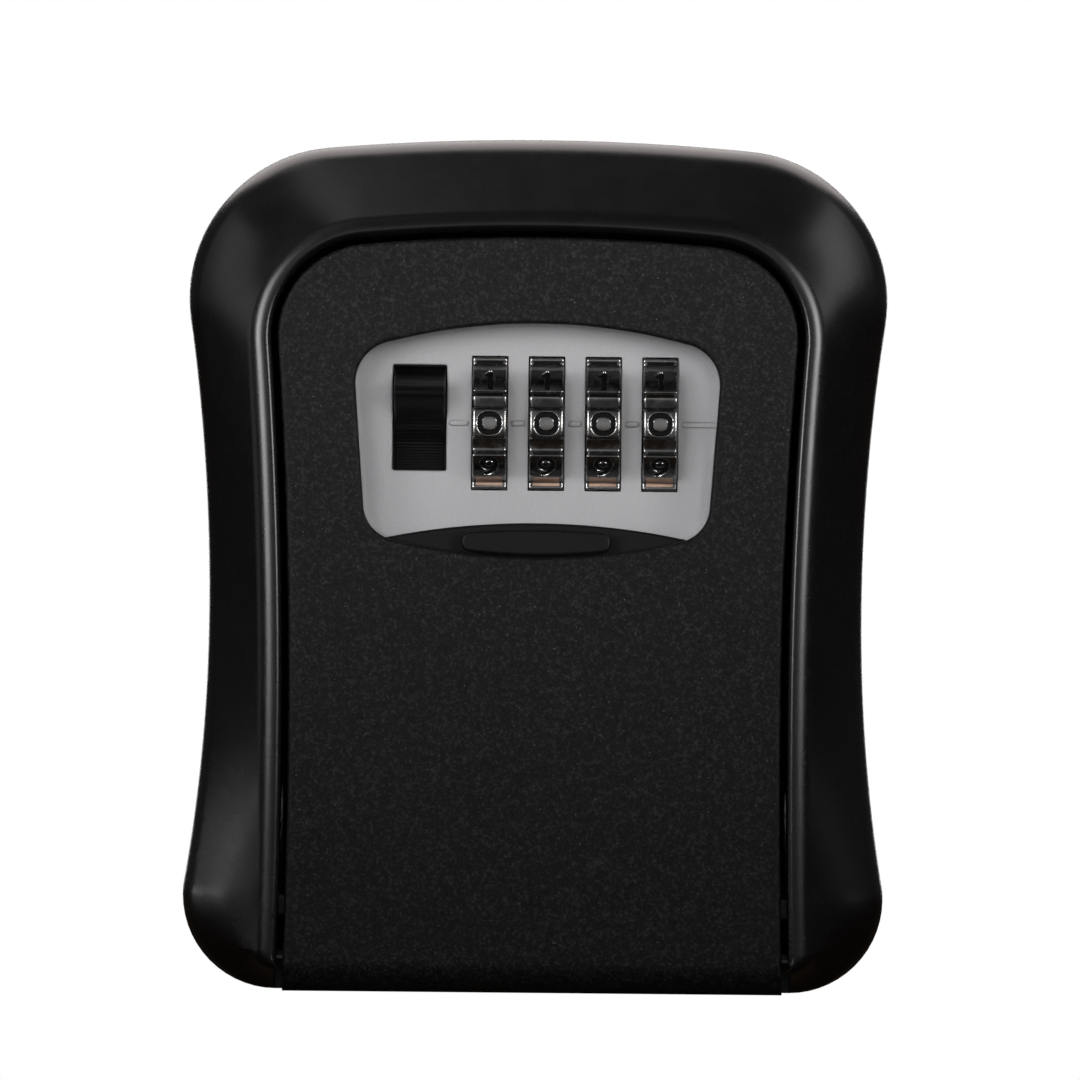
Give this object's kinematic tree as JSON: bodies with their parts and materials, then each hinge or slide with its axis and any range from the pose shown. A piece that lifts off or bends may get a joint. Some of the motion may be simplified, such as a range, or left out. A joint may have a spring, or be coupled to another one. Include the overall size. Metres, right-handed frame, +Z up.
{
  "type": "key lock box",
  "caption": "Wall-mounted key lock box with a waisted housing, a drop-down door, number dials behind a sliding shutter, an open slider and a spring latch.",
  "frame": {"origin": "centre of the four wall-screw holes, on the back face that lies on the wall", "axes": "+X to the user's right when facing the box, +Y into the wall, +Z up; the front faces -Y"},
  "size_m": [0.0946, 0.04, 0.115],
  "materials": {
    "housing": "gloss black enamel on a zinc die casting",
    "door": "fine textured black powder coat",
    "liner": "matte",
    "panel": "light grey satin, finely moulded grain",
    "case": "matte moulded grain",
    "shutter": "satin",
    "button": "gloss ridge over a ribbed skirt",
    "dial": "satin chrome plating with engraved black numbers",
    "cam": "turned",
    "steel": "zinc plated, brushed",
    "spring": "bright drawn wire",
    "screw": "zinc plated",
    "lever": "satin"
  },
  "bodies": {
    "root": {"housing": "housing", "hinge_pins": "steel"},
    "door": {"door_cover": "door", "door_liner": "liner", "liner_screws": "screw", "dial_panel": "panel", "lock_case": "case", "case_screws": "screw", "reset_spring": "spring", "button_spring": "spring", "latch_spring_left": "spring", "latch_spring_right": "spring", "detent_spring": "steel"},
    "slider": {"open_button": "button", "lock_slide": "steel", "slide_rivets": "steel"},
    "bolt": {"latch_bolt": "steel"},
    "shutter": {"shutter": "shutter"},
    "spindle": {"dial_spindle": "steel", "spindle_clips": "steel", "reset_lever": "lever"},
    "dial_1": {"dial_wheel_1": "dial"},
    "cam_1": {"code_cam_1": "cam"},
    "dial_2": {"dial_wheel_2": "dial"},
    "cam_2": {"code_cam_2": "cam"},
    "dial_3": {"dial_wheel_3": "dial"},
    "cam_3": {"code_cam_3": "cam"},
    "dial_4": {"dial_wheel_4": "dial"},
    "cam_4": {"code_cam_4": "cam"}
  },
  "joints": [
    {"name": "door_hinge", "type": "hinge", "parent": "root", "child": "door", "pos_m": [0, -0.0341, -0.053], "axis": [1, 0, 0], "range_deg": [0, 90]},
    {"name": "shutter_slide", "type": "slide", "parent": "door", "child": "shutter", "axis": [0, 0, 1], "range_m": [0, 0.0272]},
    {"name": "open_slide", "type": "slide", "parent": "door", "child": "slider", "axis": [0, 0, -1], "range_m": [0, 0.004], "deforming": ["button_spring"]},
    {"name": "bolt_slide", "type": "slide", "parent": "door", "child": "bolt", "axis": [0, 0, -1], "range_m": [-0.0036, 0], "deforming": ["latch_spring_left", "latch_spring_right"]},
    {"name": "code_change", "type": "slide", "parent": "door", "child": "spindle", "axis": [1, 0, 0], "range_m": [0, 0.0017], "deforming": ["reset_spring"]},
    {"name": "dial_1_turn", "type": "hinge", "parent": "door", "child": "dial_1", "pos_m": [-0.00643, -0.0243, 0.0191], "axis": [1, 0, 0], "continuous": true},
    {"name": "dial_2_turn", "type": "hinge", "parent": "door", "child": "dial_2", "pos_m": [0.00124, -0.0243, 0.0191], "axis": [1, 0, 0], "continuous": true},
    {"name": "dial_3_turn", "type": "hinge", "parent": "door", "child": "dial_3", "pos_m": [0.00891, -0.0243, 0.0191], "axis": [1, 0, 0], "continuous": true},
    {"name": "dial_4_turn", "type": "hinge", "parent": "door", "child": "dial_4", "pos_m": [0.01658, -0.0243, 0.0191], "axis": [1, 0, 0], "continuous": true},
    {"name": "cam_1_shift", "type": "slide", "parent": "dial_1", "child": "cam_1", "axis": [1, 0, 0], "range_m": [0, 0.0017]},
    {"name": "cam_2_shift", "type": "slide", "parent": "dial_2", "child": "cam_2", "axis": [1, 0, 0], "range_m": [0, 0.0017]},
    {"name": "cam_3_shift", "type": "slide", "parent": "dial_3", "child": "cam_3", "axis": [1, 0, 0], "range_m": [0, 0.0017]},
    {"name": "cam_4_shift", "type": "slide", "parent": "dial_4", "child": "cam_4", "axis": [1, 0, 0], "range_m": [0, 0.0017]}
  ],
  "couplings": [
    {"joint": "cam_1_shift", "follows": "code_change", "ratio": 1},
    {"joint": "cam_2_shift", "follows": "code_change", "ratio": 1},
    {"joint": "cam_3_shift", "follows": "code_change", "ratio": 1},
    {"joint": "cam_4_shift", "follows": "code_change", "ratio": 1}
  ]
}
